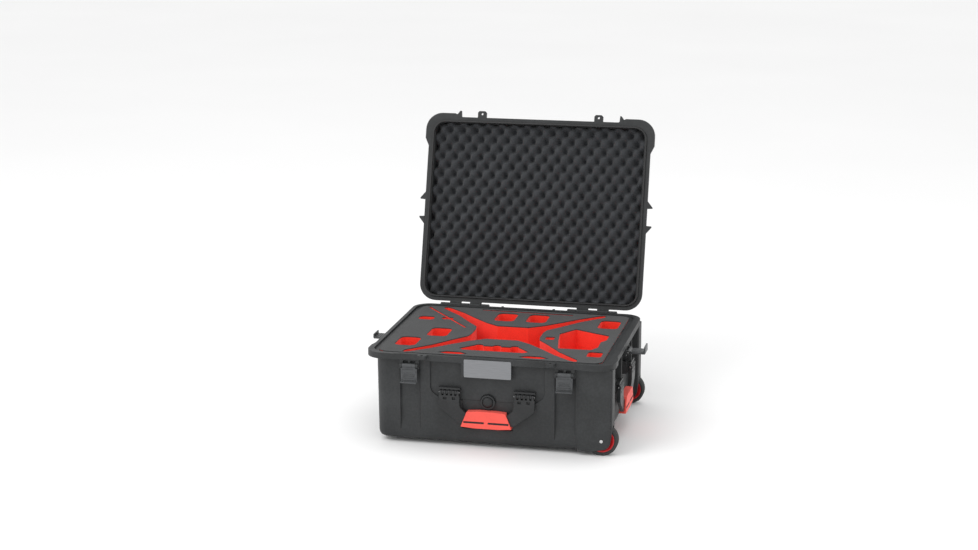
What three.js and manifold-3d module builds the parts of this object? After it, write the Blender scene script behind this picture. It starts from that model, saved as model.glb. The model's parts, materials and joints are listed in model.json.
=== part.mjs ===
// Wheeled hard case for a quadcopter: lower shell with cut-out foam, hinged lid with egg-crate foam,
// four clasp latches, two folding carry handles and two corner wheels. The lid stands open.
// Millimetres, +Z up, +X to the right, front face towards -Y.
// The origin is on the floor, at the middle of the underside's centre foot.
import * as THREE from "three";
import { mergeVertices } from "three/addons/utils/BufferGeometryUtils.js";
import Module from "manifold-3d";

const wasm = await Module();
wasm.setup();

// ---- driving dimensions
const RIM_Z = 227.5; // parting face of the lower shell
const WALL_X = 277.5; // outer face of the short walls
const WALL_Y = 235; // outer face of the long walls
const POST_X = 302; // outer face of the right corner posts, which house the wheels
const POST_WIDTH = 43;
const POST_HALF = 42.5; // half their length along the front and back walls
const POST_CORNER_R = 22; // of the posts' lower corners, about the axle
const CAVITY_X = 273.5;
const CAVITY_Y = 224.5;
const SHELL_BOTTOM_Z = 12; // the shell stands this high, on its feet and wheels
const FLOOR_Z = 17; // inside face of the lower shell's floor
const CORNER_R = 44; // flange corners
const WALL_R = 32; // wall corners
const DRAFT = 0.012; // walls lean in by this much per millimetre of depth
const FLANGE_X = 295.6;
const FLANGE_Y = 243.7;
const FLANGE_LOW_Z = 212.5;
const STEP_X = 286; // inner edge of the raised rim
const STEP_Y = 234;
const STEP_Z = 222.5;
const BASE_BUMPER = 4.5; // how far the flange's front corners stand out
const GAP = 0.3; // clearance between touching pieces

const LID_LOW_Z = 227.8;
const LID_FLANGE_Z = 238;
const LID_TOP_Z = 294;
const LID_WALL_X = 286;
const LID_WALL_Y = 236;
const LID_CAVITY_X = 279;
const LID_CAVITY_Y = 228;
const LID_BUMPER = 9.5;
const LID_OPEN = THREE.MathUtils.degToRad(106.3);
const HINGE_Y = 253.8;
const HINGE_Z = 223.4;
const HINGE_R = 6.4;
const HINGE_PIN_R = 2.5;
const HINGE_CENTRE_X = 169; // middle of each hinge, either side
const HINGE_SPAN = 130;
const BASE_KNUCKLES = [-54, 0, 54]; // their centres, from the hinge's middle
const LID_KNUCKLES = [-27, 27];
const KNUCKLE_WIDTH = 22;
const LID_KNUCKLE_WIDTH = 30;

const LATCH_X = 189; // front latches, either side of the middle
const PIVOT_OUT = 3.5; // latch pivot, outwards from the flange's edge
const PIVOT_Z = 199.5;
const LATCH_LENGTH = 42.5;
const LATCH_HALF = 20;
const CHANNEL_HALF = 25;
const CHANNEL_LOW_Z = 34;
const CHANNEL_DEPTH = 8; // 3 at the lower end

const AXLE_X = 276.6;
const WHEEL_R = 38.2;
const WHEEL_FACE = 8; // how far the wheel sits behind the case's front and back faces
const WHEEL_WIDTH = 24;
const HUB_R = 29.5;
const AXLE_R = 4;
const AXLE_END_Y = 195.5; // inner end of each axle's bore
const WHEEL_BOX_X = 227.5; // the wheel boxes inside the lower shell: left side, inner side and top
const WHEEL_BOX_Y = 196;
const WHEEL_BOX_Z = 86;

const HANDLE_AXIS_Z = 137;
const HANDLE_AXIS_OUT = 9;
const ARM_IN = 66;
const ARM_OUT = 117;
const HANDLE_PIN_R = 2;

const FOAM_TOP_Z = 226;
const FOAM_SKIN_Z = 224; // underside of the foam's grey top sheet
const ROUND = 28; // sides of a full circle
const BARREL = 12; // sides of a small barrel
const PIN = 8; // sides of a pin or of its bore

// ---- solids from three.js geometry
const turnX = (angle) => new THREE.Matrix4().makeRotationX(angle);
const turnZ = (angle) => new THREE.Matrix4().makeRotationZ(angle);
const shift = (x, y, z) => new THREE.Matrix4().makeTranslation(x, y, z);
// Axes of a profile drawn in (y, z) and extruded along x.
const ALONG_X = new THREE.Matrix4().set(0, 0, 1, 0, 1, 0, 0, 0, 0, 1, 0, 0, 0, 0, 0, 1);

function solid(geometry, matrix = new THREE.Matrix4()) {
  const bare = new THREE.BufferGeometry();
  bare.setAttribute("position", geometry.getAttribute("position").clone());
  if (geometry.index) bare.setIndex(geometry.index);
  bare.applyMatrix4(matrix);
  const merged = mergeVertices(bare, 1e-4);
  return new wasm.Manifold(
    new wasm.Mesh({
      numProp: 3,
      vertProperties: merged.attributes.position.array,
      triVerts: new Uint32Array(merged.index.array),
    }),
  );
}

function geometryOf(body) {
  const mesh = body.getMesh();
  const geometry = new THREE.BufferGeometry();
  geometry.setAttribute("position", new THREE.BufferAttribute(mesh.vertProperties, 3));
  geometry.setIndex(new THREE.BufferAttribute(mesh.triVerts, 1));
  return geometry;
}

const moved = (body, matrix) => solid(geometryOf(body), matrix);
const join = (list) => list.reduce((sum, next) => sum.add(next));
const cut = (body, list) => list.reduce((left, tool) => left.subtract(tool), body);

function box(x0, x1, y0, y1, z0, z1) {
  const geometry = new THREE.BoxGeometry(x1 - x0, y1 - y0, z1 - z0);
  return solid(geometry, shift((x0 + x1) / 2, (y0 + y1) / 2, (z0 + z1) / 2));
}

function extrude(shape, depth, arcs = 3) {
  const settings = { depth, bevelEnabled: false, curveSegments: arcs };
  return new THREE.ExtrudeGeometry(shape, settings);
}

// A shape in (x, y), from z0 up to z1.
const prismZ = (shape, z0, z1, arcs) => solid(extrude(shape, z1 - z0, arcs), shift(0, 0, z0));
// A shape in (x, z), from y0 back to y1.
const prismY = (shape, y0, y1, arcs) =>
  solid(extrude(shape, y1 - y0, arcs), shift(0, y1, 0).multiply(turnX(Math.PI / 2)));
// A shape in (y, z), from x0 to x1.
const prismX = (shape, x0, x1, arcs) =>
  solid(extrude(shape, x1 - x0, arcs), shift(x0, 0, 0).multiply(ALONG_X));

const polygon = (points) => new THREE.Shape(points.map(([a, b]) => new THREE.Vector2(a, b)));

function disc(a, b, radius) {
  const shape = new THREE.Shape();
  shape.absarc(a, b, radius, 0, 2 * Math.PI);
  return shape;
}

function rod(axis, a, b, radius, low, high, sides = ROUND) {
  const make = { x: prismX, y: prismY, z: prismZ }[axis];
  return make(disc(a, b, radius), low, high, sides / 2); // an arc has two steps per segment
}

// Rectangle with round corners, centred at (x, y).
function roundRect(halfX, halfY, radius, x = 0, y = 0) {
  const shape = new THREE.Shape();
  const [right, top] = [halfX - radius, halfY - radius];
  shape.absarc(x + right, y + top, radius, 0, Math.PI / 2);
  shape.absarc(x - right, y + top, radius, Math.PI / 2, Math.PI);
  shape.absarc(x - right, y - top, radius, Math.PI, 1.5 * Math.PI);
  shape.absarc(x + right, y - top, radius, 1.5 * Math.PI, 2 * Math.PI);
  return shape;
}

// A tray-like body: round-cornered rectangles at rising heights, each drawn in by its inset.
function loft(halfX, halfY, radius, levels, arcs = 4) {
  const rings = levels.map(([z, inset]) => {
    const shape = roundRect(halfX - inset, halfY - inset, radius - inset);
    return shape.getPoints(arcs).map((p) => new THREE.Vector3(p.x, p.y, z));
  });
  rings.forEach((ring) => {
    if (ring[0].distanceTo(ring.at(-1)) < 1e-6) ring.pop();
  });
  const count = rings[0].length;
  const index = [];
  for (let level = 0; level + 1 < rings.length; level++) {
    for (let i = 0; i < count; i++) {
      const [a, b] = [level * count + i, level * count + ((i + 1) % count)];
      index.push(a, b, b + count, a, b + count, a + count);
    }
  }
  const outline = rings[0].map((p) => new THREE.Vector2(p.x, p.y));
  const cap = THREE.ShapeUtils.triangulateShape(outline, []);
  const last = (rings.length - 1) * count;
  cap.forEach(([a, b, c]) => index.push(c, b, a, last + a, last + b, last + c));
  const geometry = new THREE.BufferGeometry().setFromPoints(rings.flat());
  geometry.setIndex(index);
  return solid(geometry);
}

const root = new THREE.Group();

function addMesh(name, body, colour, roughness, metalness = 0, parent = root) {
  const geometry = geometryOf(body);
  geometry.computeVertexNormals();
  const material = new THREE.MeshStandardMaterial({ color: colour, roughness, metalness });
  const node = new THREE.Mesh(geometry, material);
  node.name = name;
  parent.add(node);
  return node;
}

const SHELL_COLOUR = 0x3f4143;
const FITTING_COLOUR = 0x2c2e30;
const RED = 0xe8372b;
const FOAM_GREY = 0x38393b;
const STEEL = 0xb9bcc0;
const RUBBER = 0x2b2c2b;

// ---- outlines shared by the lower shell and the lid

// The flange, with bumpers that stand out at its front corners.
function flangeShape(left, right, bumper) {
  const side = CORNER_R + 24;
  const blend = 20;
  const shape = new THREE.Shape();
  shape.absarc(right - CORNER_R, FLANGE_Y - CORNER_R, CORNER_R, 0, Math.PI / 2);
  shape.absarc(-left + CORNER_R, FLANGE_Y - CORNER_R, CORNER_R, Math.PI / 2, Math.PI);
  const front = -FLANGE_Y - bumper;
  shape.lineTo(-left, front + side + blend);
  shape.lineTo(-left - bumper, front + side);
  const leftX = -left - bumper + CORNER_R;
  shape.absarc(leftX, front + CORNER_R, CORNER_R, Math.PI, 1.5 * Math.PI);
  shape.lineTo(-left + side, front);
  shape.lineTo(-left + side + blend, -FLANGE_Y);
  shape.lineTo(right - side - blend, -FLANGE_Y);
  shape.lineTo(right - side, front);
  const rightX = right + bumper - CORNER_R;
  shape.absarc(rightX, front + CORNER_R, CORNER_R, 1.5 * Math.PI, 2 * Math.PI);
  shape.lineTo(right + bumper, front + side);
  shape.lineTo(right, front + side + blend);
  return shape;
}

// Padlock tab on the flange's front edge, with its hole.
function padlockTab(side, reach, z0, z1) {
  const [inner, outer] = [144, 167];
  const shape = new THREE.Shape();
  shape.moveTo(side * inner, -FLANGE_Y + 4);
  shape.lineTo(side * inner, -FLANGE_Y - reach + 4);
  shape.lineTo(side * (inner + 4), -FLANGE_Y - reach);
  shape.lineTo(side * (outer - 4), -FLANGE_Y - reach);
  shape.lineTo(side * outer, -FLANGE_Y - reach + 4);
  shape.lineTo(side * outer, -FLANGE_Y + 4);
  const middle = (side * (inner + outer)) / 2;
  const hole = rod("z", middle, -FLANGE_Y - reach / 2 - 1, 3.2, z0 - 1, z1 + 1, BARREL);
  return prismZ(shape, z0, z1).subtract(hole);
}

const onBothSides = (make) => [-1, 1].map(make);

// Latch stations: the frame of each has its origin at the flange's edge, -Y outwards.
const STATIONS = [
  { name: "front_left", x: -LATCH_X, y: -FLANGE_Y, turn: 0, wall: 8.7, rest: 180, lip: 8 },
  { name: "front_right", x: LATCH_X, y: -FLANGE_Y, turn: 0, wall: 8.7, rest: 180, lip: 8 },
  { name: "left", x: -FLANGE_X, y: 0, turn: -90, wall: 18.1, rest: 90, lip: 8 },
  { name: "right", x: POST_X, y: 0, turn: 90, wall: 24.5, rest: 90, lip: 14.4 },
];
const stationMatrix = (s) => shift(s.x, s.y, 0).multiply(turnZ(THREE.MathUtils.degToRad(s.turn)));

// ---- lower shell

// The block that carries a latch: two sockets above the pivot and two ears for the pin.
function latchBlock(station) {
  const [low, high] = [190, 213];
  const block = box(-24, 24, 0.6, station.wall + 3, low, high);
  const sockets = onBothSides((side) => {
    const [a, b] = side < 0 ? [-15, -3] : [3, 15];
    return box(a, b, -2, 7, 203.5, 210);
  });
  const relief = rod("x", -PIVOT_OUT, PIVOT_Z, 6.2, -16.6, 16.6, BARREL);
  const ears = onBothSides((side) => {
    const [a, b] = side < 0 ? [-22.6, -16.6] : [16.6, 22.6];
    const ear = rod("x", -PIVOT_OUT, PIVOT_Z, 5, a, b, BARREL);
    return ear.add(box(a, b, -PIVOT_OUT, 1, PIVOT_Z - 5, PIVOT_Z + 5));
  });
  const pinHole = rod("x", -PIVOT_OUT, PIVOT_Z, 2.3, -26, 26, PIN);
  const whole = cut(join([cut(block, [...sockets, relief]), ...ears]), [pinHole]);
  return moved(whole, stationMatrix(station));
}

// Handle stations: origin on the mounting face, -Y outwards.
const HANDLES = [
  { name: "front", x: 0, y: -230, turn: 0 },
  { name: "side", x: 290, y: 0, turn: 90 },
];

// Side view of the hinge's web on the lower shell, in (y, z).
const BASE_WEB = [
  [240, 214],
  [248, 214],
  [HINGE_Y + HINGE_R - 0.6, HINGE_Z - 2],
  [HINGE_Y, HINGE_Z + 3.4],
  [240, 226.9],
];
const LID_WEB = [
  [240, LID_LOW_Z],
  [244.3, LID_LOW_Z],
  [HINGE_Y - HINGE_R + 0.4, HINGE_Z + 1],
  [HINGE_Y + HINGE_R - 0.4, HINGE_Z + 1],
  [258, 231],
  [250, 236],
  [240, 236],
];

function knuckle(web, x, width) {
  const [a, b] = [x - width / 2, x + width / 2];
  const barrel = rod("x", HINGE_Y, HINGE_Z, HINGE_R, a, b, BARREL);
  const bore = rod("x", HINGE_Y, HINGE_Z, HINGE_PIN_R + GAP, a - 1, b + 1, PIN);
  return prismX(polygon(web), a, b).add(barrel).subtract(bore);
}

const hingeKnuckles = (web, centres, width) =>
  onBothSides((side) => centres.map((x) => knuckle(web, side * HINGE_CENTRE_X + x, width))).flat();

// The shallow recess in the front wall around the handle and label, in (x, z).
const FRONT_RECESS = [
  [-140, 212.5],
  [-140, 145],
  [-135, 133],
  [-120, 122],
  [-62, 118],
  [62, 118],
  [120, 122],
  [135, 133],
  [140, 145],
  [140, 212.5],
];

const VALVE_X = 2;
const VALVE_Z = 116.5;
const VALVE_SEAT_Y = -228; // floor of the finger recess, which the valve stands on

// A wheel's well: round, open below and towards the right, between the post's two cheeks.
function wheelWell(side) {
  const radius = WHEEL_R + 4;
  const near = side * (WALL_Y - WHEEL_FACE + 2);
  const far = side * (WALL_Y - WHEEL_FACE - WHEEL_WIDTH - 2);
  const [y0, y1] = [Math.min(near, far), Math.max(near, far)];
  const round = rod("y", AXLE_X, WHEEL_R, radius, y0, y1);
  return round.add(box(AXLE_X, POST_X + 9, y0, y1, 0, WHEEL_R + 30));
}

// What is taken off a post's lower corner, so that the wheel stands out below and beside it.
function postCorner(side) {
  const shape = new THREE.Shape();
  shape.moveTo(POST_X + 9, 62);
  shape.lineTo(POST_X, 62);
  shape.lineTo(AXLE_X + POST_CORNER_R, WHEEL_R);
  shape.absarc(AXLE_X, WHEEL_R, POST_CORNER_R, 0, -Math.PI / 2, true);
  shape.lineTo(AXLE_X - 20, SHELL_BOTTOM_Z);
  shape.lineTo(AXLE_X - 20, 0);
  shape.lineTo(POST_X + 9, 0);
  const inner = side * (WALL_Y - POST_WIDTH - 0.1);
  const [y0, y1] = [inner, side * (WALL_Y + 10)].sort((a, b) => a - b);
  return prismY(shape, y0, y1, 5);
}

function lowerShell() {
  const body = loft(WALL_X, WALL_Y, WALL_R, [
    [SHELL_BOTTOM_Z, 11],
    [SHELL_BOTTOM_Z + 2.5, 6.5],
    [SHELL_BOTTOM_Z + 7, 3.6],
    [SHELL_BOTTOM_Z + 14, DRAFT * 200],
    [FLANGE_LOW_Z + 1, 0],
  ]);
  const flange = prismZ(flangeShape(FLANGE_X, POST_X, BASE_BUMPER), FLANGE_LOW_Z, RIM_Z, 5);
  const postCorners = onBothSides(postCorner);
  const posts = onBothSides((side) => {
    const middle = side * (WALL_Y - POST_WIDTH / 2);
    const shape = roundRect(POST_HALF, POST_WIDTH / 2, 5, POST_X - POST_HALF, middle);
    return prismZ(shape, SHELL_BOTTOM_Z, FLANGE_LOW_Z + 1, 3);
  });
  const labelBoss = box(-61, 61, -FLANGE_Y, -WALL_Y + 6, 177, FLANGE_LOW_Z + 1);
  const handlePads = [
    ...onBothSides((side) => {
      const edge = [side * (ARM_IN - 3), side * (ARM_OUT + 3)].sort((a, b) => a - b);
      return box(WALL_X - 2, 290, edge[0], edge[1], 120, 152);
    }),
    ...onBothSides((side) => box(WALL_X - 2, 299.5, side * 80 - 3, side * 80 + 3, 150, 213)),
  ];
  const feet = [-222, 0, 170].map((x) =>
    prismZ(roundRect(22, 185, 12, x, 0), 0, SHELL_BOTTOM_Z + 1, 2),
  );
  const tabs = onBothSides((side) => padlockTab(side, 12.5, RIM_Z - 9, RIM_Z));
  const stops = onBothSides((side) => box(side * 68 - 3, side * 68 + 3, 240, 257, 206, 226.5));
  const outside = join([
    body,
    flange,
    ...posts,
    labelBoss,
    ...handlePads,
    ...feet,
    ...tabs,
    ...stops,
    ...STATIONS.map(latchBlock),
    ...hingeKnuckles(BASE_WEB, BASE_KNUCKLES, KNUCKLE_WIDTH),
  ]);

  const labelKeep = box(-61, 61, -FLANGE_Y - 1, -WALL_Y + 6, 177, FLANGE_LOW_Z);
  const recess = prismY(polygon(FRONT_RECESS), -WALL_Y - 9, -230).subtract(labelKeep);
  const fingerRecess = box(-62, 62, -WALL_Y - 9, -228, 48, 118.2);
  const valveSeat = rod("y", VALVE_X, VALVE_Z, 19, -WALL_Y - 9, VALVE_SEAT_Y, ROUND);
  const channels = onBothSides((side) => {
    const x = side * LATCH_X;
    const shape = polygon([
      [-WALL_Y - 9, CHANNEL_LOW_Z],
      [-WALL_Y + 3, CHANNEL_LOW_Z],
      [-WALL_Y + CHANNEL_DEPTH, CHANNEL_LOW_Z + 30],
      [-WALL_Y + CHANNEL_DEPTH, 189.8],
      [-WALL_Y - 9, 189.8],
    ]);
    return prismX(shape, x - CHANNEL_HALF, x + CHANNEL_HALF);
  });
  const hollow = loft(CAVITY_X, CAVITY_Y, WALL_R - 8, [
    [FLOOR_Z, 4],
    [FLOOR_Z + 6, 0],
    [RIM_Z + 5, 0],
  ]);
  const rimStep = prismZ(roundRect(STEP_X, STEP_Y, CORNER_R - 9), STEP_Z, RIM_Z + 5, 5);
  const wheelBoxes = onBothSides((side) => {
    const halfY = (WALL_Y - 3 - WHEEL_BOX_Y) / 2;
    const shape = roundRect(37, halfY, 4, WHEEL_BOX_X + 37, side * (WHEEL_BOX_Y + halfY));
    return prismZ(shape, FLOOR_Z - 3, WHEEL_BOX_Z, 3);
  });
  const wells = onBothSides(wheelWell);
  const axleHoles = rod("y", AXLE_X, WHEEL_R, AXLE_R + GAP, -WALL_Y - 9, WALL_Y + 9, BARREL);
  const axleKeep = box(200, 310, -AXLE_END_Y, AXLE_END_Y, 0, 90);
  const walls = cut(outside, [recess, fingerRecess, valveSeat, ...channels, hollow, rimStep]);
  const boxed = cut(join([walls, ...wheelBoxes]), postCorners);
  return cut(boxed, [...wells, axleHoles.subtract(axleKeep)]);
}

addMesh("base_shell", lowerShell(), SHELL_COLOUR, 0.62);

// ---- fittings on the lower shell

const labelShape = roundRect(57.5, 22, 3, 3, 200.5);
addMesh(
  "label_plate",
  prismY(labelShape, -FLANGE_Y - 1.5, -FLANGE_Y - GAP, 3),
  0x8f9296,
  0.35,
);

const valveRing = rod("y", VALVE_X, VALVE_Z, 17.5, -WALL_Y - 2, VALVE_SEAT_Y - GAP);
const valveWell = rod("y", VALVE_X, VALVE_Z, 13.6, -WALL_Y - 3, -WALL_Y + 1.7);
addMesh("valve_ring", valveRing.subtract(valveWell), FITTING_COLOUR, 0.5);

// A round turned body from [radius, height] pairs, its axis pointing outwards along -Y.
function turned(profile, x, y, z, steps = ROUND) {
  const points = profile.map(([r, h]) => new THREE.Vector2(r, h));
  const lathe = new THREE.LatheGeometry(points, steps);
  return solid(lathe, shift(x, y, z).multiply(turnX(Math.PI)));
}

const CAP_PROFILE = [
  [0, 0],
  [13, 0],
  [13, 4],
  [11, 6.4],
  [6, 7.8],
  [0, 8.2],
];
addMesh("valve_cap", turned(CAP_PROFILE, VALVE_X, -WALL_Y + 1.4, VALVE_Z), 0x4a4c4e, 0.55);

// ---- carry handles, each in a frame with its origin on the mounting face and -Y outwards

const KNUCKLE_PITCH = 10.5;
const ARM_KNUCKLES = [0, 1, 2, 3, 4].map((i) => ARM_IN + 4.5 + i * KNUCKLE_PITCH);
const EAR_CENTRES = [0, 1, 2, 3].map((i) => ARM_IN + 9.75 + i * KNUCKLE_PITCH);
const ARM_FRONT_Y = -13.5;
const ARM_BACK_Y = -4.5;

// Half of the handle's U-shaped frame, from the arm's outer top corner to the middle, in (x, z).
const FRAME_OUTSIDE = [
  [ARM_OUT, 130],
  [ARM_OUT, 104],
  [113, 98],
  [66, 62],
];
const FRAME_INSIDE = [
  [50, 88],
  [63, 100],
  [ARM_IN, 108],
  [ARM_IN, 130],
];
const mirrored = (points) => points.map(([x, z]) => [-x, z]).reverse();

function handleFrame() {
  const outline = [
    ...FRAME_OUTSIDE,
    ...mirrored(FRAME_OUTSIDE),
    ...mirrored(FRAME_INSIDE),
    ...FRAME_INSIDE,
  ];
  const frame = prismY(polygon(outline), ARM_FRONT_Y, ARM_BACK_Y);
  const knuckles = onBothSides((side) =>
    ARM_KNUCKLES.map((x) => {
      const [a, b] = [side * x - 2.8, side * x + 2.8];
      const barrel = rod("x", -HANDLE_AXIS_OUT, HANDLE_AXIS_Z, 5.6, a, b, BARREL);
      const web = box(a, b, ARM_FRONT_Y, ARM_BACK_Y, 129, HANDLE_AXIS_Z);
      return barrel.add(web);
    }),
  ).flat();
  const bore = rod("x", -HANDLE_AXIS_OUT, HANDLE_AXIS_Z, HANDLE_PIN_R + GAP, -120, 120, PIN);
  const windows = onBothSides((side) =>
    [80, 102].map((x) => box(side * x - 4, side * x + 4, ARM_FRONT_Y - 1, -9, 120, 126)),
  ).flat();
  return cut(join([frame, ...knuckles]), [bore, ...windows]);
}

function handleGrip() {
  const outline = [
    [-62, 56],
    [-30, 53.5],
    [30, 53.5],
    [62, 56],
    [47, 94],
    [20, 96],
    [-20, 96],
    [-47, 94],
  ];
  const grip = prismY(polygon(outline), -18.5, -0.7);
  const [z0, z1] = [62 - GAP, 88 + GAP];
  const bar = box(-80, 80, ARM_FRONT_Y - GAP, ARM_BACK_Y + GAP, z0, z1);
  const slots = onBothSides((side) => {
    const [a, b] = [side * 5, side * 55].sort((p, q) => p - q);
    return box(a, b, -20, -16, 66, 70);
  });
  return cut(grip, [bar, ...slots]);
}

function handleBracket(side) {
  const plateX = [side * (ARM_IN - 1), side * (ARM_OUT + 1)].sort((a, b) => a - b);
  const plate = box(plateX[0], plateX[1], -3.2, -GAP, 123, 149);
  const hood = box(plateX[0], plateX[1], -11, -1, 144.5, 149);
  const ears = EAR_CENTRES.map((x) => {
    const [a, b] = [side * x - 2, side * x + 2];
    const barrel = rod("x", -HANDLE_AXIS_OUT, HANDLE_AXIS_Z, 5.2, a, b, BARREL);
    return barrel.add(box(a, b, -HANDLE_AXIS_OUT, -2, 132.5, 145));
  });
  const bore = rod("x", -HANDLE_AXIS_OUT, HANDLE_AXIS_Z, HANDLE_PIN_R + GAP, -120, 120, PIN);
  return join([plate, hood, ...ears]).subtract(bore);
}

function handlePin(side) {
  const [a, b] = [side * (ARM_IN + 0.5), side * (ARM_OUT - 0.5)].sort((p, q) => p - q);
  return rod("x", -HANDLE_AXIS_OUT, HANDLE_AXIS_Z, HANDLE_PIN_R, a, b, PIN);
}

for (const { name, x, y, turn } of HANDLES) {
  const group = new THREE.Group();
  group.position.set(x, y, 0);
  group.rotation.z = THREE.MathUtils.degToRad(turn);
  root.add(group);
  addMesh(name + "_handle_frame", handleFrame(), FITTING_COLOUR, 0.5, 0, group);
  addMesh(name + "_handle_grip", handleGrip(), RED, 0.55, 0, group);
  for (const [end, side] of [["a", -1], ["b", 1]]) {
    addMesh(name + "_bracket_" + end, handleBracket(side), FITTING_COLOUR, 0.5, 0, group);
    addMesh(name + "_handle_pin_" + end, handlePin(side), STEEL, 0.3, 1, group);
  }
}

// ---- clasp latches: hinged on the lower shell, the lip closes over the lid's flange

function latchLever(lip) {
  const lipTop = PIVOT_Z + LATCH_LENGTH;
  const blade = polygon([
    [-6.5, 206],
    [-6.5, lipTop - 2],
    [-4.5, lipTop],
    [lip - 2.5, lipTop],
    [lip - 2, lipTop - 3.6],
    [-2, lipTop - 3.6],
    [-2, 206],
  ]);
  const neck = polygon([
    [-6.5, PIVOT_Z],
    [-6.5, 207],
    [-2, 207],
    [-0.5, PIVOT_Z],
  ]);
  const barrel = rod("x", -PIVOT_OUT, PIVOT_Z, 5, -16.2, 16.2, BARREL);
  const bore = rod("x", -PIVOT_OUT, PIVOT_Z, 2.3, -30, 30, PIN);
  const grooves = [0, 1, 2].map((i) => box(-13, 13, -8, -5.6, 222 + i * 5, 224.5 + i * 5));
  const lever = join([prismX(blade, -LATCH_HALF, LATCH_HALF), prismX(neck, -16.2, 16.2), barrel]);
  return cut(lever, [bore, ...grooves]);
}

const latchPin = () => rod("x", -PIVOT_OUT, PIVOT_Z, 2, -22.4, 22.4, PIN);

for (const { name, x, y, turn, rest, lip } of STATIONS) {
  const station = new THREE.Group();
  station.position.set(x, y, 0);
  station.rotation.z = THREE.MathUtils.degToRad(turn);
  root.add(station);
  addMesh("latch_pin_" + name, latchPin(), STEEL, 0.3, 1, station);
  const swing = new THREE.Group();
  swing.position.set(0, -PIVOT_OUT, PIVOT_Z);
  swing.rotation.x = THREE.MathUtils.degToRad(rest);
  station.add(swing);
  const lever = addMesh("latch_" + name, latchLever(lip), 0x4b4e50, 0.5, 0, swing);
  lever.position.set(0, PIVOT_OUT, -PIVOT_Z);
}

// ---- wheels, in the right corners

const TYRE_PROFILE = [
  [HUB_R + GAP, -10.5],
  [WHEEL_R - 4, -12],
  [WHEEL_R - 1.2, -10],
  [WHEEL_R, -6],
  [WHEEL_R, 6],
  [WHEEL_R - 1.2, 10],
  [WHEEL_R - 4, 12],
  [HUB_R + GAP, 10.5],
  [HUB_R + GAP, -10.5],
];
const HUB_PROFILE = [
  [AXLE_R + GAP, -11],
  [10, -11],
  [11.5, -6.5],
  [22, -5.5],
  [25.5, -10.5],
  [HUB_R, -10.5],
  [HUB_R, 10.5],
  [25.5, 10.5],
  [22, 5.5],
  [11.5, 6.5],
  [10, 11],
  [AXLE_R + GAP, 11],
  [AXLE_R + GAP, -11],
];

for (const [name, side] of [["front", -1], ["rear", 1]]) {
  const middle = side * (WALL_Y - WHEEL_FACE - WHEEL_WIDTH / 2);
  addMesh("tyre_" + name, turned(TYRE_PROFILE, AXLE_X, middle, WHEEL_R, 32), RUBBER, 0.8);
  addMesh("hub_" + name, turned(HUB_PROFILE, AXLE_X, middle, WHEEL_R, 24), RED, 0.45);
  const [a, b] = [side * (WALL_Y + 0.5), side * (AXLE_END_Y + GAP)].sort((p, q) => p - q);
  addMesh("axle_" + name, rod("y", AXLE_X, WHEEL_R, AXLE_R, a, b, BARREL), STEEL, 0.3, 1);
}

// ---- foam in the lower shell: a red block under a thin grey sheet, with the same cut-outs

// A quarter of the aircraft's cross-shaped cut-out, from the back edge's middle to the side's.
const CROSS_QUARTER = [
  [40, 64],
  [75, 90],
  [115, 132],
  [152, 174],
  [196, 214],
  [207, 219],
  [214, 214],
  [210, 200],
  [157, 142],
  [118, 84],
  [90, 46],
  [86, 22],
];

function crossShape() {
  const clockwise = [
    ...CROSS_QUARTER,
    ...CROSS_QUARTER.map(([x, y]) => [x, -y]).reverse(),
    ...CROSS_QUARTER.map(([x, y]) => [-x, -y]),
    ...CROSS_QUARTER.map(([x, y]) => [-x, y]).reverse(),
  ];
  return polygon(clockwise.reverse());
}

// The controller's cut-out, following its outline.
const controllerShape = () =>
  polygon([
    [148, -112],
    [228, -110],
    [241, -84],
    [240, -36],
    [251, -14],
    [251, 28],
    [205, 50],
    [160, 74],
    [128, 22],
    [136, -40],
  ]);

// The propellers' cut-out, with finger notches along its back edge.
function propellerShape() {
  const shape = new THREE.Shape();
  shape.moveTo(-74, -172);
  shape.lineTo(74, -172);
  shape.lineTo(86, -160);
  shape.lineTo(58, -128);
  for (const x of [44, 0, -44]) {
    shape.lineTo(x + 11, -126);
    shape.absarc(x, -126, 11, 0, Math.PI);
  }
  shape.lineTo(-58, -128);
  shape.lineTo(-86, -160);
  return shape;
}

function slotShape(x0, y0, x1, y1, halfWidth) {
  const length = Math.hypot(x1 - x0, y1 - y0);
  const [nx, ny] = [(-(y1 - y0) / length) * halfWidth, ((x1 - x0) / length) * halfWidth];
  return polygon([
    [x0 - nx, y0 - ny],
    [x1 - nx, y1 - ny],
    [x1 + nx, y1 + ny],
    [x0 + nx, y0 + ny],
  ]);
}

const lensShape = (x) =>
  polygon([
    [x - 38, -206],
    [x - 16, -213],
    [x + 16, -213],
    [x + 38, -206],
    [x + 16, -193],
    [x - 16, -193],
  ]);

const BATTERIES = [
  [-223, -124],
  [-168, -26],
  [-36, 150],
  [46, 152],
  [234, 132],
];
const POCKETS = [
  { shape: crossShape(), floor: 148 },
  { shape: roundRect(84, 60, 12), floor: 60 },
  ...BATTERIES.map(([x, y]) => ({ shape: roundRect(26, 39, 14, x, y), floor: 130 })),
  { shape: controllerShape(), floor: 110 },
  { shape: roundRect(11, 13, 3, 112, -26), floor: 175 },
  { shape: roundRect(18, 22, 8, 244, -148), floor: 170 },
  { shape: roundRect(20, 16, 10, -234, 102), floor: 185 },
  { shape: slotShape(-254, 212, -114, 30, 3.5), floor: 200 },
  { shape: roundRect(15, 10, 6, -180, 108), floor: 195 },
  { shape: slotShape(-112, 211, 128, 206, 4.5), floor: 180 },
  { shape: propellerShape(), floor: 160 },
  { shape: lensShape(-92), floor: 190 },
  { shape: lensShape(106), floor: 190 },
];

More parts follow.
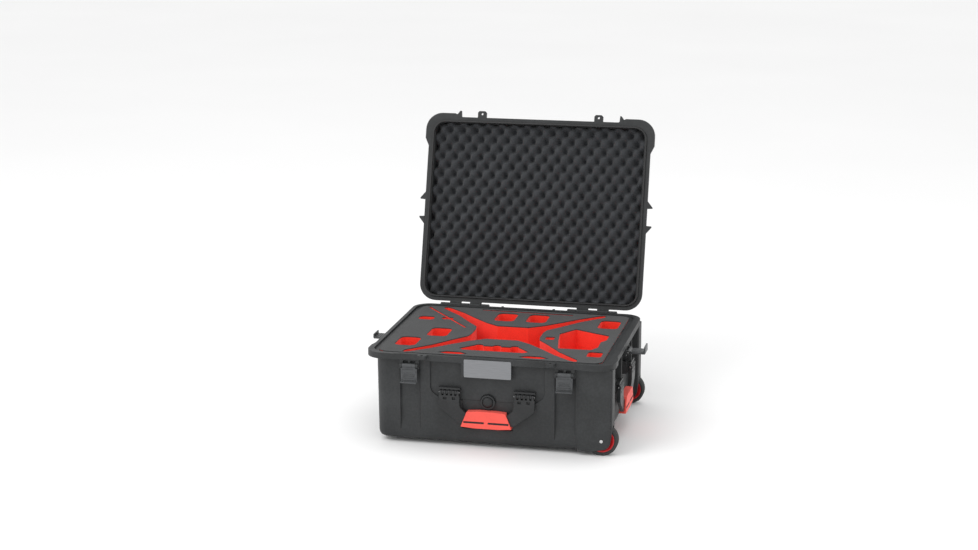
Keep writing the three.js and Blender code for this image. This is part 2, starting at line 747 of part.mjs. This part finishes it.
const pocketTools = (low) =>
  POCKETS.map(({ shape, floor }) => prismZ(shape, Math.max(floor, low), FOAM_TOP_Z + 5, 2));
const foamOutline = roundRect(CAVITY_X - 0.7, CAVITY_Y - 0.7, WALL_R - 9);
const wheelBoxKeeps = onBothSides((side) => {
  const [a, b] = [side * (WHEEL_BOX_Y - 1), side * 230].sort((p, q) => p - q);
  return box(WHEEL_BOX_X - 1, 290, a, b, 0, WHEEL_BOX_Z + 1);
});
const foamBlock = prismZ(foamOutline, FLOOR_Z + 6.4, FOAM_SKIN_Z - GAP, 3);
const foamSheet = prismZ(foamOutline, FOAM_SKIN_Z, FOAM_TOP_Z, 3);
addMesh("foam_block", cut(foamBlock, [...pocketTools(0), ...wheelBoxKeeps]), RED, 0.95);
addMesh("foam_sheet", cut(foamSheet, pocketTools(FOAM_SKIN_Z - 5)), FOAM_GREY, 0.95);

// ---- hinge pins

for (const [name, side] of [["left", -1], ["right", 1]]) {
  const [a, b] = [-1, 1].map((end) => side * HINGE_CENTRE_X + end * (HINGE_SPAN / 2 - 0.5));
  addMesh("hinge_pin_" + name, rod("x", HINGE_Y, HINGE_Z, HINGE_PIN_R, a, b, PIN), STEEL, 0.3, 1);
}

// ---- lid, modelled closed and swung open about the hinge

// Pointed guards on the lid's edge, on either side of a latch.
const frontGuard = (side) =>
  polygon([
    [side * 230, -FLANGE_Y + 3],
    [side * 215, -260.5],
    [side * 212, -260.5],
    [side * 210.5, -FLANGE_Y + 3],
  ]);
const sideGuard = (side, end) =>
  polygon([
    [side * (FLANGE_X - 3), end * 46],
    [side * (FLANGE_X + 13.5), end * 26],
    [side * (FLANGE_X + 13.5), end * 23],
    [side * (FLANGE_X - 3), end * 22],
  ]);

function lidShell() {
  const body = loft(LID_WALL_X, LID_WALL_Y, WALL_R, [
    [LID_FLANGE_Z - 1, 0],
    [280, 0.7],
    [288, 3],
    [292, 7],
    [LID_TOP_Z, 12],
  ]);
  const flange = prismZ(flangeShape(FLANGE_X, FLANGE_X, LID_BUMPER), LID_LOW_Z, LID_FLANGE_Z, 5);
  const guards = onBothSides((side) =>
    [frontGuard(side), sideGuard(side, -1), sideGuard(side, 1)].map((shape) =>
      prismZ(shape, LID_LOW_Z, LID_FLANGE_Z - 0.5),
    ),
  ).flat();
  const tabs = onBothSides((side) => padlockTab(side, 17.5, LID_LOW_Z, LID_LOW_Z + 9));
  const hollow = loft(LID_CAVITY_X, LID_CAVITY_Y, WALL_R - 6, [
    [LID_LOW_Z - 2, 0],
    [284, 0],
    [289.5, 4],
  ]);
  const outside = join([
    body,
    flange,
    ...guards,
    ...tabs,
    ...hingeKnuckles(LID_WEB, LID_KNUCKLES, LID_KNUCKLE_WIDTH),
  ]);
  const groove = ring(STEP_X - 0.4, STEP_Y - 0.4, 4.4, LID_LOW_Z - 1, LID_LOW_Z + 3.2);
  return cut(outside, [hollow, groove]);
}

// A rectangular ring with round corners.
function ring(halfX, halfY, width, z0, z1) {
  const outer = prismZ(roundRect(halfX, halfY, CORNER_R - 10), z0, z1, 4);
  const inner = roundRect(halfX - width, halfY - width, CORNER_R - 10 - width);
  return outer.subtract(prismZ(inner, z0 - 1, z1 + 1, 4));
}

const lid = new THREE.Group();
lid.position.set(0, HINGE_Y, HINGE_Z);
lid.rotation.x = -LID_OPEN;
root.add(lid);
const closedLid = new THREE.Group();
closedLid.position.set(0, -HINGE_Y, -HINGE_Z);
lid.add(closedLid);
addMesh("lid_shell", lidShell(), SHELL_COLOUR, 0.62, 0, closedLid);
const seal = ring(STEP_X - 0.7, STEP_Y - 0.7, 3.8, STEP_Z + 0.6, LID_LOW_Z + 2.9);
addMesh("lid_seal", seal, 0x1d1e1f, 0.8, 0, closedLid);
const lidFoam = prismZ(roundRect(LID_CAVITY_X - 0.6, LID_CAVITY_Y - 0.6, WALL_R - 7), 235, 283.5, 3);
addMesh("lid_foam", lidFoam, FOAM_GREY, 0.95, 0, closedLid);

export default root;
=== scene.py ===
"""Looks of the wheeled hard case: materials, rounded mouldings, egg-crate foam, studio and camera."""

import json
import math

import bmesh
import bpy
from mathutils import Euler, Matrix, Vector


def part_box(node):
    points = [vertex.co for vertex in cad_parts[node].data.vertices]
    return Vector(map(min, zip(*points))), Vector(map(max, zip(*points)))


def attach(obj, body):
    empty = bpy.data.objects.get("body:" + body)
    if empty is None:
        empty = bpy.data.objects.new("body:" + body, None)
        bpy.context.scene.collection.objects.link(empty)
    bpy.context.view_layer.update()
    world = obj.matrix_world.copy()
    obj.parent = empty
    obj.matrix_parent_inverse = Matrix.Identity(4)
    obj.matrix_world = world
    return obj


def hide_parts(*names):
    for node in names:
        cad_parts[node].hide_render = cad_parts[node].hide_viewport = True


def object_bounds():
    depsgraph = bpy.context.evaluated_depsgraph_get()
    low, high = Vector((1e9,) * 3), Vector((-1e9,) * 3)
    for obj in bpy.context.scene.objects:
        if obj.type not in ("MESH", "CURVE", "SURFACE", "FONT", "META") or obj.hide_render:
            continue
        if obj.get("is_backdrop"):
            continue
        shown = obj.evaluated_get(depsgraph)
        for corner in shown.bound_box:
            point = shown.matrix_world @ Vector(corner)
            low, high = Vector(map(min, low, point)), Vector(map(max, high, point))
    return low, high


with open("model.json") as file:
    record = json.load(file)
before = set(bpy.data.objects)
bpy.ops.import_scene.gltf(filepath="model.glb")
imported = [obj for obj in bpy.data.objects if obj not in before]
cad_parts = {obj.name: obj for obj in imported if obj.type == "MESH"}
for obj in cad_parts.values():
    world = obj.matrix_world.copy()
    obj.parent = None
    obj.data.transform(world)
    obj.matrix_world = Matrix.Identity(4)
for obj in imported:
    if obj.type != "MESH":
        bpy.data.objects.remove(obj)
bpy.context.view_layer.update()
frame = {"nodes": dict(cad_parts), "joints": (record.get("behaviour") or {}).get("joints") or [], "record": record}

MM = 0.001
NODES = frame["nodes"]
JOINTS = {joint["name"]: joint for joint in frame["joints"]}
BODY_OF = {
    node: body
    for body, members in frame["record"]["behaviour"]["bodies"].items()
    for node in members
}
SLOT_OF = {row["node"]: row["material_slot"] for row in frame["record"]["subparts"]}

LATCHES = ("front_left", "front_right", "left", "right")
HANDLES = ("front", "side")
WHEELS = ("front", "rear")

# ---- materials: each is a small node tree over the object's own coordinates, in metres


class Finish:
    """A Principled material with helpers that chain texture nodes into it."""

    def __init__(self, name):
        self.material = bpy.data.materials.new(name)
        self.material.use_nodes = True
        self.tree = self.material.node_tree
        self.shader = self.tree.nodes["Principled BSDF"]
        self.place = self.tree.nodes.new("ShaderNodeTexCoord").outputs["Object"]

    def node(self, kind, **inputs):
        made = self.tree.nodes.new(kind)
        for name, value in inputs.items():
            made.inputs[name.replace("_", " ")].default_value = value
        return made

    def link(self, start, end):
        self.tree.links.new(start, end)

    def noise(self, scale, detail, roughness=0.55):
        made = self.node("ShaderNodeTexNoise", Scale=scale, Detail=detail, Roughness=roughness)
        self.link(self.place, made.inputs["Vector"])
        return made.outputs["Fac"]

    def cells(self, scale):
        made = self.node("ShaderNodeTexVoronoi", Scale=scale)
        self.link(self.place, made.inputs["Vector"])
        return made.outputs["Distance"]

    def ramp(self, factor, first, second):
        """Runs between two (place, colour) stops."""
        made = self.node("ShaderNodeValToRGB")
        for element, (place, colour) in zip(made.color_ramp.elements, (first, second)):
            element.position = place
            element.color = (*colour, 1)
        self.link(factor, made.inputs["Fac"])
        return made.outputs["Color"]

    def multiply(self, first, second):
        made = self.node("ShaderNodeMix")
        made.data_type = "RGBA"
        made.blend_type = "MULTIPLY"
        factor, a, b, result = made.inputs[0], made.inputs[6], made.inputs[7], made.outputs[2]
        factor.default_value = 1.0
        self.link(first, a)
        self.link(second, b)
        return result

    def bumps(self, *layers):
        """Stacks (height, strength, distance) layers into the shader's normal."""
        last = None
        for height, strength, distance in layers:
            made = self.node("ShaderNodeBump", Strength=strength, Distance=distance)
            self.link(height, made.inputs["Height"])
            if last:
                self.link(last, made.inputs["Normal"])
            last = made.outputs["Normal"]
        self.link(last, self.shader.inputs["Normal"])

    def set(self, **values):
        for name, value in values.items():
            self.shader.inputs[name.replace("_", " ")].default_value = value

    def paint(self, colour):
        self.link(colour, self.shader.inputs["Base Color"])

    def rough(self, factor, low, high):
        """Turns a 0 to 1 factor into a roughness from low to high."""
        made = self.node("ShaderNodeMapRange", To_Min=low, To_Max=high)
        self.link(factor, made.inputs["Value"])
        self.link(made.outputs["Result"], self.shader.inputs["Roughness"])


def shades(colour, variation):
    """The colour darker by a share, and lighter by the same share."""
    return [tuple(channel * gain for channel in colour) for gain in (1 - variation, 1 + variation)]


def grey(level):
    return (level, level, level)


PLASTIC_MOTTLE = 0.16  # how far a colour wanders each way, as a share
RUBBER_MOTTLE = 0.08
LABEL_MOTTLE = 0.1
SHELL_GRAIN = 0.12 * MM  # depths of the grain and the pores
FITTING_GRAIN = 0.08 * MM
HUB_GRAIN = 0.06 * MM
FOAM_PORE = 0.6 * MM
RED_FOAM_PORE = 0.4 * MM


def moulded_plastic(name, colour, low, high, depth):
    """Injection-moulded plastic: a fine leathery grain, faint mottling and handling marks."""
    finish = Finish(name)
    cloud = finish.noise(scale=14, detail=4)
    mottle = finish.noise(scale=180, detail=3)
    dark, light = shades(colour, PLASTIC_MOTTLE)
    base = finish.ramp(cloud, (0.35, dark), (0.68, light))
    speck = finish.ramp(mottle, (0.4, grey(0.9)), (0.62, grey(1.08)))
    finish.paint(finish.multiply(base, speck))
    finish.rough(finish.noise(scale=45, detail=5, roughness=0.65), low, high)
    finish.bumps(
        (finish.cells(scale=1500), 0.35, depth),
        (finish.noise(scale=320, detail=2), 0.25, depth),
    )
    finish.set(Specular_IOR_Level=0.28)
    return finish.material


def soft_rubber(name, colour, roughness=0.62):
    """Moulded rubber: a matt, slightly velvety skin."""
    finish = Finish(name)
    dark, light = shades(colour, RUBBER_MOTTLE)
    finish.paint(finish.ramp(finish.noise(scale=30, detail=3), (0.35, dark), (0.7, light)))
    finish.rough(finish.noise(scale=90, detail=4), roughness - 0.06, roughness + 0.06)
    finish.bumps((finish.noise(scale=1400, detail=2), 0.3, 0.1 * MM))
    finish.set(Sheen_Weight=0.08, Sheen_Roughness=0.5)
    return finish.material


def closed_cell_foam(name, colour, variation, pore_scale, depth):
    """Cut foam: small open pores over a soft, slightly uneven colour, with painted shade darkening the colour in
    each pore.
    """
    finish = Finish(name)
    pores = finish.cells(pore_scale)
    cloud = finish.noise(scale=22, detail=4)
    dark, light = shades(colour, variation)
    base = finish.ramp(cloud, (0.3, dark), (0.7, light))
    # painted shade: the colour darkens towards each pore's middle, where the bump sinks the surface
    painted_pore_shade = finish.ramp(pores, (0.08, grey(0.72)), (0.4, grey(1.06)))
    finish.paint(finish.multiply(base, painted_pore_shade))
    finish.rough(finish.noise(scale=200, detail=3), 0.86, 0.98)
    finish.bumps((pores, 0.5, depth), (finish.noise(scale=900, detail=3), 0.4, depth * 0.6))
    finish.set(Specular_IOR_Level=0.18, Sheen_Weight=0.12, Sheen_Roughness=0.55)
    return finish.material


def satin_label(name, colour):
    """A satin foil, brushed along X."""
    finish = Finish(name)
    stretch = finish.node("ShaderNodeMapping", Scale=(1, 30, 30))
    finish.link(finish.place, stretch.inputs["Vector"])
    brushed = finish.node("ShaderNodeTexNoise", Scale=40.0, Detail=4.0)
    finish.link(stretch.outputs["Vector"], brushed.inputs["Vector"])
    streaks = brushed.outputs["Fac"]
    dark, light = shades(colour, LABEL_MOTTLE)
    finish.paint(finish.ramp(streaks, (0.3, dark), (0.7, light)))
    finish.rough(streaks, 0.3, 0.45)
    finish.bumps((finish.noise(scale=900, detail=2), 0.15, 0.05 * MM))
    return finish.material


def bright_steel(name):
    """Drawn steel for the pins and axles."""
    finish = Finish(name)
    cloud = finish.noise(scale=260, detail=3)
    finish.paint(finish.ramp(cloud, (0.3, grey(0.5)), (0.7, grey(0.72))))
    finish.rough(finish.noise(scale=500, detail=3), 0.2, 0.36)
    finish.bumps((finish.noise(scale=1800, detail=2), 0.15, 0.04 * MM))
    finish.set(Metallic=1.0)
    return finish.material


SHELL_SLATE = (0.030, 0.0315, 0.0325)
FITTING_BLACK = (0.026, 0.027, 0.028)
LATCH_GREY = (0.062, 0.065, 0.068)
VALVE_BLACK = (0.022, 0.023, 0.024)
GRIP_RED = (0.84, 0.085, 0.062)
TYRE_BLACK = (0.026, 0.027, 0.027)
HUB_RED = (0.62, 0.022, 0.026)
SEAL_BLACK = (0.012, 0.012, 0.013)
# painted shade: near-black lining for the grip's shallow slots, standing in for their depth
SLOT_SHADE_BLACK = (0.014, 0.013, 0.013)
LABEL_SILVER = (0.19, 0.195, 0.205)
FOAM_RED = (0.86, 0.040, 0.022)
FOAM_GREY = (0.034, 0.035, 0.036)
LID_FOAM_GREY = (0.034, 0.036, 0.040)

MATERIALS = {
    "shell": moulded_plastic("shell_plastic", SHELL_SLATE, 0.44, 0.58, SHELL_GRAIN),
    "fitting": moulded_plastic("fitting_plastic", FITTING_BLACK, 0.32, 0.44, FITTING_GRAIN),
    "latch": moulded_plastic("latch_plastic", LATCH_GREY, 0.32, 0.44, FITTING_GRAIN),
    "valve": moulded_plastic("valve_plastic", VALVE_BLACK, 0.42, 0.55, FITTING_GRAIN),
    "grip": soft_rubber("grip_rubber", GRIP_RED),
    "tyre": soft_rubber("tyre_rubber", TYRE_BLACK, 0.72),
    "hub": moulded_plastic("hub_plastic", HUB_RED, 0.28, 0.4, HUB_GRAIN),
    "seal": soft_rubber("seal_rubber", SEAL_BLACK, 0.6),
    "steel": bright_steel("pin_steel"),
    "slot_inside": soft_rubber("grip_slot_painted_shade", SLOT_SHADE_BLACK),
    "label": satin_label("label_satin", LABEL_SILVER),
    "red_foam": closed_cell_foam("red_foam", FOAM_RED, 0.06, 700, RED_FOAM_PORE),
    "grey_foam": closed_cell_foam("grey_foam", FOAM_GREY, 0.12, 520, FOAM_PORE),
    "lid_foam": closed_cell_foam("lid_foam", LID_FOAM_GREY, 0.12, 420, FOAM_PORE),
}

# ---- pieces


def object_from(name, shape, material):
    """Puts a bmesh in the scene as an object of one material, and frees it."""
    mesh = bpy.data.meshes.new(name)
    shape.to_mesh(mesh)
    shape.free()
    mesh.materials.append(material)
    made = bpy.data.objects.new(name, mesh)
    bpy.context.scene.collection.objects.link(made)
    return made


def piece_from(name, shape, node):
    """Puts a bmesh in the scene as the smooth piece that stands for a CAD node."""
    piece = object_from(name, shape, MATERIALS[SLOT_OF[node]])
    for face in piece.data.polygons:
        face.use_smooth = True
    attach(piece, BODY_OF[node])
    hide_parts(node)
    return piece


MERGE_DISTANCE = 0.02 * MM
FLAT_ANGLE = math.radians(0.8)  # faces nearer to one plane than this are joined
SHARP_ANGLE = math.radians(34)  # edges sharper than this are rounded
NORMAL_WEIGHT = 60
TURNED_SHARP = math.radians(40)  # a turned piece's edges that are sharper than this shade as edges


def clean_copy(node):
    """The node's faces with the triangulation taken out, so that its edges can be rounded."""
    shape = bmesh.new()
    shape.from_mesh(NODES[node].data)
    bmesh.ops.remove_doubles(shape, verts=shape.verts, dist=MERGE_DISTANCE)
    bmesh.ops.dissolve_limit(shape, angle_limit=FLAT_ANGLE, verts=shape.verts, edges=shape.edges)
    bmesh.ops.connect_verts_concave(shape, faces=shape.faces)
    bmesh.ops.recalc_face_normals(shape, faces=shape.faces)
    return shape


def rounded(node, radius, segments=2, second=None, where=None):
    """The node as a moulding: its sharp edges are rounded to radius in millimetres, and its
    facets shade as curves. where says which faces, by their centres, take the second material."""
    piece = piece_from(node + "_moulding", clean_copy(node), node)
    if second:
        piece.data.materials.append(MATERIALS[second])
        for face in piece.data.polygons:
            face.material_index = int(where(face.center))
    bevel = piece.modifiers.new("rounding", "BEVEL")
    bevel.width = radius * MM
    bevel.segments = segments
    bevel.limit_method = "ANGLE"
    bevel.angle_limit = SHARP_ANGLE
    bevel.use_clamp_overlap = False
    bevel.miter_outer = "MITER_ARC" if segments > 2 else "MITER_SHARP"
    normals = piece.modifiers.new("flat_faces", "WEIGHTED_NORMAL")
    normals.keep_sharp = False
    normals.weight = NORMAL_WEIGHT
    return piece


def lathe(node, centre, profile, steps, flutes=0, flute_depth=0.0):
    """A turned piece about Y through centre, from (radius, offset along Y) points in millimetres.
    A profile that ends where it starts makes a ring, and any other gets a flat cap at each end.
    flutes are shallow grooves along the axis, as deep as a share of the radius."""
    shape = bmesh.new()

    def circle(radius, offset):
        made = []
        for step in range(steps):
            angle = 2 * math.pi * step / steps
            wave = 1 - flute_depth * (0.5 + 0.5 * math.cos(flutes * angle))
            reach = radius * wave * MM
            place = (math.cos(angle) * reach, offset * MM, math.sin(angle) * reach)
            made.append(shape.verts.new(Vector(place) + centre))
        return made

    is_ring = profile[0] == profile[-1]
    points = profile[:-1] if is_ring else profile
    circles = [circle(radius, offset) for radius, offset in points]
    pairs = list(zip(circles, circles[1:]))
    if is_ring:
        pairs.append((circles[-1], circles[0]))
    for a, b in pairs:
        for step in range(steps):
            after = (step + 1) % steps
            shape.faces.new((a[step], a[after], b[after], b[step]))
    if not is_ring:
        shape.faces.new(circles[0])
        shape.faces.new(circles[-1])
    bmesh.ops.recalc_face_normals(shape, faces=shape.faces)
    piece = piece_from(node + "_turned", shape, node)
    piece.data.set_sharp_from_angle(angle=TURNED_SHARP)
    return piece


# ---- shells, fittings and foam

FOAM_SIDE = 0.5 * MM  # a face nearer than this to a side of the foam's box is an outer side
FOAM_CORNER = 19.2 * MM  # and so is one whose distances to two sides add up to less than this
GRIP_SLOT_LOW, GRIP_SLOT_HIGH = 65.5 * MM, 70.5 * MM
GRIP_SLOT_DEPTH = 2.5 * MM
SLOT_MARGIN = 0.05 * MM


def on_outer_side(node):
    """A test for the faces round the outside of a block, which are grey like its top."""
    low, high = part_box(node)

    def test(centre):
        sides = [min(centre[i] - low[i], high[i] - centre[i]) for i in (0, 1)]
        return min(sides) < FOAM_SIDE or sum(sides) < FOAM_CORNER

    return test


def in_grip_slot(node):
    """A test for the faces of the two slots in a grip's outer side, which are painted near-black as shade."""
    low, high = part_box(node)
    faces_front = high.x - low.x > high.y - low.y
    outwards = Vector((0, -1, 0)) if faces_front else Vector((1, 0, 0))
    face = max(low.dot(outwards), high.dot(outwards))

    def test(centre):
        sunk = face - centre.dot(outwards)
        at_height = GRIP_SLOT_LOW < centre.z < GRIP_SLOT_HIGH
        return at_height and SLOT_MARGIN < sunk < GRIP_SLOT_DEPTH + 2 * SLOT_MARGIN

    return test


rounded("base_shell", 0.7)
rounded("lid_shell", 0.7)
for end in HANDLES:
    rounded(f"{end}_handle_frame", 0.8)
    grip = f"{end}_handle_grip"
    # the slot faces take the near-black painted shade
    rounded(grip, 0.9, segments=3, second="slot_inside", where=in_grip_slot(grip))
    for which in "ab":
        rounded(f"{end}_bracket_{which}", 0.5)
for which in LATCHES:
    rounded(f"latch_{which}", 0.7)
rounded("label_plate", 0.4)
rounded("valve_ring", 0.8)
rounded("lid_seal", 1.0)
rounded("foam_block", 1.0, second="grey_foam", where=on_outer_side("foam_block"))
rounded("foam_sheet", 0.45)

# ---- ribs moulded on the inner side of each latch's plate

LATCH_FACE = 1.5 * MM  # from the pivot out to the plate's inner side
RIB_HEIGHT = 1.3 * MM
RIB_TAPER = 0.5 * MM
RIB_SUNK = 0.2 * MM  # how far a rib's foot goes into the plate
RIB_EDGE = 0.25 * MM
LATCH_RIBS = [  # (half width, nearest and furthest distance from the pivot), in millimetres
    (17.5, 9.5, 17.5),
    (14.5, 20.5, 22.5),
    (14.5, 25, 27),
    (16.5, 31, 36.5),
]


def latch_ribs(which):
    """A latch's ribs, placed from its joint: along its pin, and out to its free end."""
    joint = JOINTS[f"latch_{which}_swing"]
    pivot = Vector(joint["pos_m"])
    along = Vector(joint["axis"]).normalized()
    low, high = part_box("latch_" + which)
    far = (low + high) / 2 - pivot
    far -= along * far.dot(along)
    hanging = abs(far.z) > math.hypot(far.x, far.y)
    reach = Vector((0, 0, -1)) if hanging else Vector((far.x, far.y, 0)).normalized()
    facing = reach.cross(along)
    if hanging and facing.y > 0 or not hanging and facing.z < 0:
        facing = -facing
    surface = pivot + facing * LATCH_FACE
    shape = bmesh.new()
    for half, near, end in LATCH_RIBS:
        for vertex in bmesh.ops.create_cube(shape, size=1)["verts"]:
            x, y, z = vertex.co
            taper = RIB_TAPER * (z + 0.5)
            side = math.copysign(half * MM - taper, x)
            out = near * MM + taper if y < 0 else end * MM - taper
            lift = RIB_HEIGHT * (z + 0.5) - RIB_SUNK
            vertex.co = surface + along * side + reach * out + facing * lift
    bmesh.ops.bevel(shape, geom=shape.edges[:], offset=RIB_EDGE, segments=2, affect="EDGES")
    bmesh.ops.recalc_face_normals(shape, faces=shape.faces)
    piece = object_from(f"latch_{which}_ribs", shape, MATERIALS["latch"])
    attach(piece, BODY_OF["latch_" + which])


for which in LATCHES:
    latch_ribs(which)

# ---- egg-crate foam in the lid

CRATE_PITCH_X = 34.6 * MM  # between pits along a row
CRATE_PITCH_Y = 46.8 * MM  # between rows that line up; the rows between are offset by half
CRATE_DEPTH = 28 * MM
CRATE_CORNER = 25 * MM
CRATE_STEPS = 12  # grid cells to a pitch
CRATE_ROUNDNESS = 1.5  # over 1, the peaks are broader than the pits
CRATE_SHARP = math.radians(60)  # edges sharper than this shade as edges


def lid_axes():
    """Two of the closed lid's directions as it stands open: towards the hinge, and up."""
    turn = Euler((math.radians(JOINTS["lid_hinge"]["range_deg"][0]), 0, 0)).to_matrix()
    return turn @ Vector((0, 1, 0)), turn @ Vector((0, 0, 1))


def egg_crate():
    """The lid's foam as one closed sheet of pits and peaks, inside the CAD slab that it stands for."""
    along_y, along_z = lid_axes()
    corners = [vertex.co for vertex in NODES["lid_foam"].data.vertices]
    ys = [corner.dot(along_y) for corner in corners]
    zs = [corner.dot(along_z) for corner in corners]
    half_x = max(abs(corner.x) for corner in corners)
    half_y = (max(ys) - min(ys)) / 2
    middle_y = (max(ys) + min(ys)) / 2
    face_z, back_z = min(zs), max(zs)
    cell = CRATE_PITCH_X / CRATE_STEPS
    across, up = round(2 * half_x / cell), round(2 * half_y / cell)

    def rounded_corner(x, y):
        """Pulls the grid's square corners in to round ones."""
        dx, dy = abs(x) - (half_x - CRATE_CORNER), abs(y) - (half_y - CRATE_CORNER)
        if dx <= 0 or dy <= 0:
            return x, y
        scale = max(dx, dy) / math.hypot(dx, dy)
        near_x = half_x - CRATE_CORNER + dx * scale
        near_y = half_y - CRATE_CORNER + dy * scale
        return math.copysign(near_x, x), math.copysign(near_y, y)

    def depth(x, y):
        """0 on the peaks, 1 in the pits."""
        wave = math.cos(2 * math.pi * x / CRATE_PITCH_X) * math.cos(2 * math.pi * y / CRATE_PITCH_Y)
        return (0.5 - 0.5 * wave) ** CRATE_ROUNDNESS

    shape = bmesh.new()
    grid = []
    for row in range(up + 1):
        line = []
        for column in range(across + 1):
            x = (column / across - 0.5) * 2 * half_x
            y = (row / up - 0.5) * 2 * half_y
            x, y = rounded_corner(x, y)
            z = face_z + CRATE_DEPTH * depth(x, y)
            place = Vector((x, 0, 0)) + along_y * (middle_y + y) + along_z * z
            line.append(shape.verts.new(place))
        grid.append(line)
    for low, high in zip(grid, grid[1:]):
        for a, b, c, d in zip(low, low[1:], high[1:], high):
            shape.faces.new((a, b, c, d))
    rim = grid[0][:-1] + [line[-1] for line in grid[:-1]]
    rim += grid[-1][:0:-1] + [line[0] for line in grid[:0:-1]]
    back = [shape.verts.new(top.co + along_z * (back_z - top.co.dot(along_z))) for top in rim]
    for i, (a, b) in enumerate(zip(rim, back)):
        after = (i + 1) % len(rim)
        shape.faces.new((a, rim[after], back[after], b))
    shape.faces.new(back)
    bmesh.ops.recalc_face_normals(shape, faces=shape.faces)
    piece = piece_from("lid_egg_crate", shape, "lid_foam")
    piece.data.set_sharp_from_angle(angle=CRATE_SHARP)


egg_crate()

# ---- wheels and valve: profiles are (radius, offset along the axis) points, in millimetres

TYRE_BORE = 29.8
TYRE_GROOVES = [-8.0, -4.0, 0.0, 4.0, 8.0]  # their middles, across the tyre's width
GROOVE_DEPTH = 0.9
GROOVE_TOP, GROOVE_FLOOR = 1.1, 0.7  # half widths
HUB_HALF = [  # from the bore over the boss, the dished web and the rim, on one side
    (4.3, 11), (9.4, 11), (10, 10.4), (11.5, 6.7), (12.2, 6.2), (21.4, 5.5), (22.2, 5.9),
    (26.5, 10), (27.3, 10.5), (29.5, 10.5),
]
CAP_PROFILE = [  # from the wall out over the knurled rim to the domed face
    (12.6, 0), (13, -0.5), (13, -3.6), (12.4, -4.4), (10.6, -5.6), (9.8, -6.6),
    (7, -7.6), (3.5, -8.1), (0.6, -8.2),
]
CAP_FLUTES = 16
CAP_FLUTE_DEPTH = 0.06


def mirrored_ring(half, middle=()):
    """A closed profile from one side's points, with the points between the two sides."""
    near = [(radius, -offset) for radius, offset in half]
    return [*near, *middle, *reversed(half), near[0]]


def tyre_profile(outer, half_width):
    """A tyre's bore, shoulders and grooved tread, for its outer radius and half its width."""
    side = [(TYRE_BORE, half_width - 1.5), (outer - 4, half_width), (outer - 1.2, half_width - 1.8)]
    tread = []
    for groove in TYRE_GROOVES:
        tread += [(outer, groove - GROOVE_TOP), (outer - GROOVE_DEPTH, groove - GROOVE_FLOOR)]
        tread += [(outer - GROOVE_DEPTH, groove + GROOVE_FLOOR), (outer, groove + GROOVE_TOP)]
    return mirrored_ring(side, tread)


for which in WHEELS:
    low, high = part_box("tyre_" + which)
    centre = (low + high) / 2
    outer = (high.z - low.z) / 2 / MM
    half_width = (high.y - low.y) / 2 / MM
    lathe("tyre_" + which, centre, tyre_profile(outer, half_width), steps=96)
    lathe("hub_" + which, centre, mirrored_ring(HUB_HALF), steps=72)

low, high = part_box("valve_cap")
centre = Vector(((low.x + high.x) / 2, high.y, (low.z + high.z) / 2))
lathe("valve_cap", centre, CAP_PROFILE, steps=96, flutes=CAP_FLUTES, flute_depth=CAP_FLUTE_DEPTH)

# ---- the CAD nodes that still show, which are the pins and axles

for node, carried in NODES.items():
    if not carried.hide_render:
        carried.data.materials.clear()
        carried.data.materials.append(MATERIALS[SLOT_OF[node]])

# ---- studio and camera

FLOOR_SIZE = 40
WORLD_STRENGTH = 1.05
CAMERA_PLACE = (0.9916, -4.6424, 1.5129)
CAMERA_TILT = math.radians(76.71)  # from looking straight down
CAMERA_TURN = math.radians(12.58)  # about Z, from looking along +Y
CAMERA_LENS = 72.8
CAMERA_SENSOR = 36
CAMERA_SHIFT = (-0.0013, -0.0071)


def studio_floor():
    finish = Finish("studio_floor")
    cloud = finish.noise(scale=0.6, detail=2)
    finish.paint(finish.ramp(cloud, (0.3, grey(0.86)), (0.7, grey(0.88))))
    finish.set(Roughness=0.9, Specular_IOR_Level=0.1)
    shape = bmesh.new()
    bmesh.ops.create_grid(shape, x_segments=2, y_segments=2, size=FLOOR_SIZE)
    floor = object_from("studio_floor", shape, finish.material)
    floor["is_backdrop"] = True


def softbox(name, place, aim, size, power):
    lamp = bpy.data.lights.new(name, "AREA")
    lamp.shape = "RECTANGLE"
    lamp.size, lamp.size_y = size
    lamp.energy = power
    light = bpy.data.objects.new(name, lamp)
    light.location = place
    light.rotation_euler = (Vector(aim) - Vector(place)).to_track_quat("-Z", "Y").to_euler()
    bpy.context.scene.collection.objects.link(light)


def studio():
    """A white floor in an even white world, with two softboxes over it."""
    scene = bpy.context.scene
    studio_floor()
    world = bpy.data.worlds.new("studio")
    world.use_nodes = True
    background = world.node_tree.nodes["Background"]
    background.inputs["Color"].default_value = (1, 1, 1, 1)
    background.inputs["Strength"].default_value = WORLD_STRENGTH
    scene.world = world
    scene.view_settings.view_transform = "Standard"
    softbox("key_softbox", (-2.2, -2.6, 3.2), aim=(0, 0, 0.3), size=(2.4, 2.4), power=60)
    softbox("top_softbox", (0.2, 0.6, 3.4), aim=(0, 0, 0.2), size=(2.6, 1.6), power=20)


def camera():
    data = bpy.data.cameras.new("camera")
    data.sensor_width = CAMERA_SENSOR
    data.lens = CAMERA_LENS
    data.shift_x, data.shift_y = CAMERA_SHIFT
    made = bpy.data.objects.new("camera", data)
    made.location = CAMERA_PLACE
    made.rotation_euler = (CAMERA_TILT, 0, CAMERA_TURN)
    bpy.context.scene.collection.objects.link(made)
    bpy.context.scene.camera = made


studio()
camera()

low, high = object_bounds()
